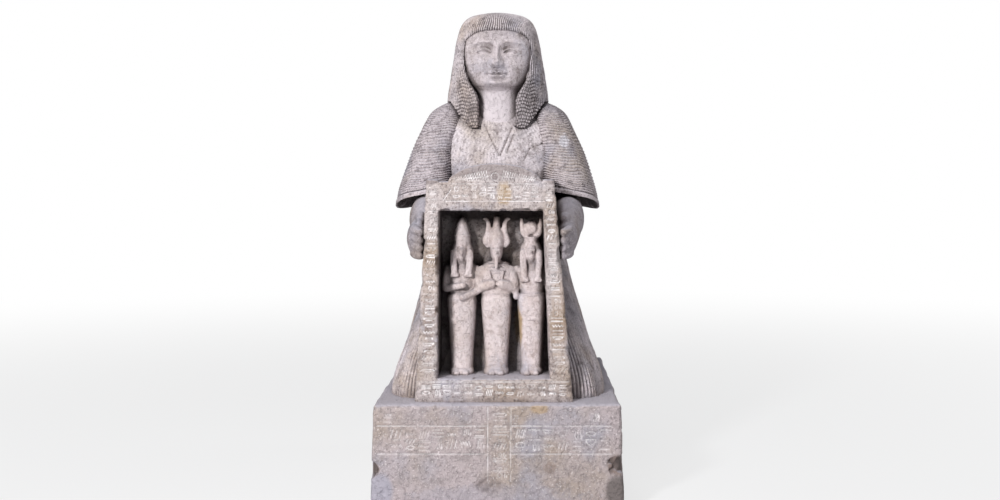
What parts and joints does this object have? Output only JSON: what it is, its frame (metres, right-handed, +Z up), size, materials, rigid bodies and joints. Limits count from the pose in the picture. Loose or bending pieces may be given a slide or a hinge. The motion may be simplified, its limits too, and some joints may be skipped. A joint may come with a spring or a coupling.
{
  "type": "naophorous statue",
  "caption": "Stone statue of a kneeling man in a pleated robe and long wig, who holds a battered shrine with standing gods in its niche, on a low rectangular base.",
  "frame": {"origin": "centre of the underside of the base", "axes": "+Z up, the figure and the shrine face -Y, +X to the right of someone who looks at the front"},
  "size_m": [0.529, 0.683, 1.0894],
  "materials": {
    "limestone": "carved, worn and unpolished pale limestone"
  },
  "bodies": {
    "root": {"statue": "limestone"}
  },
  "joints": []
}
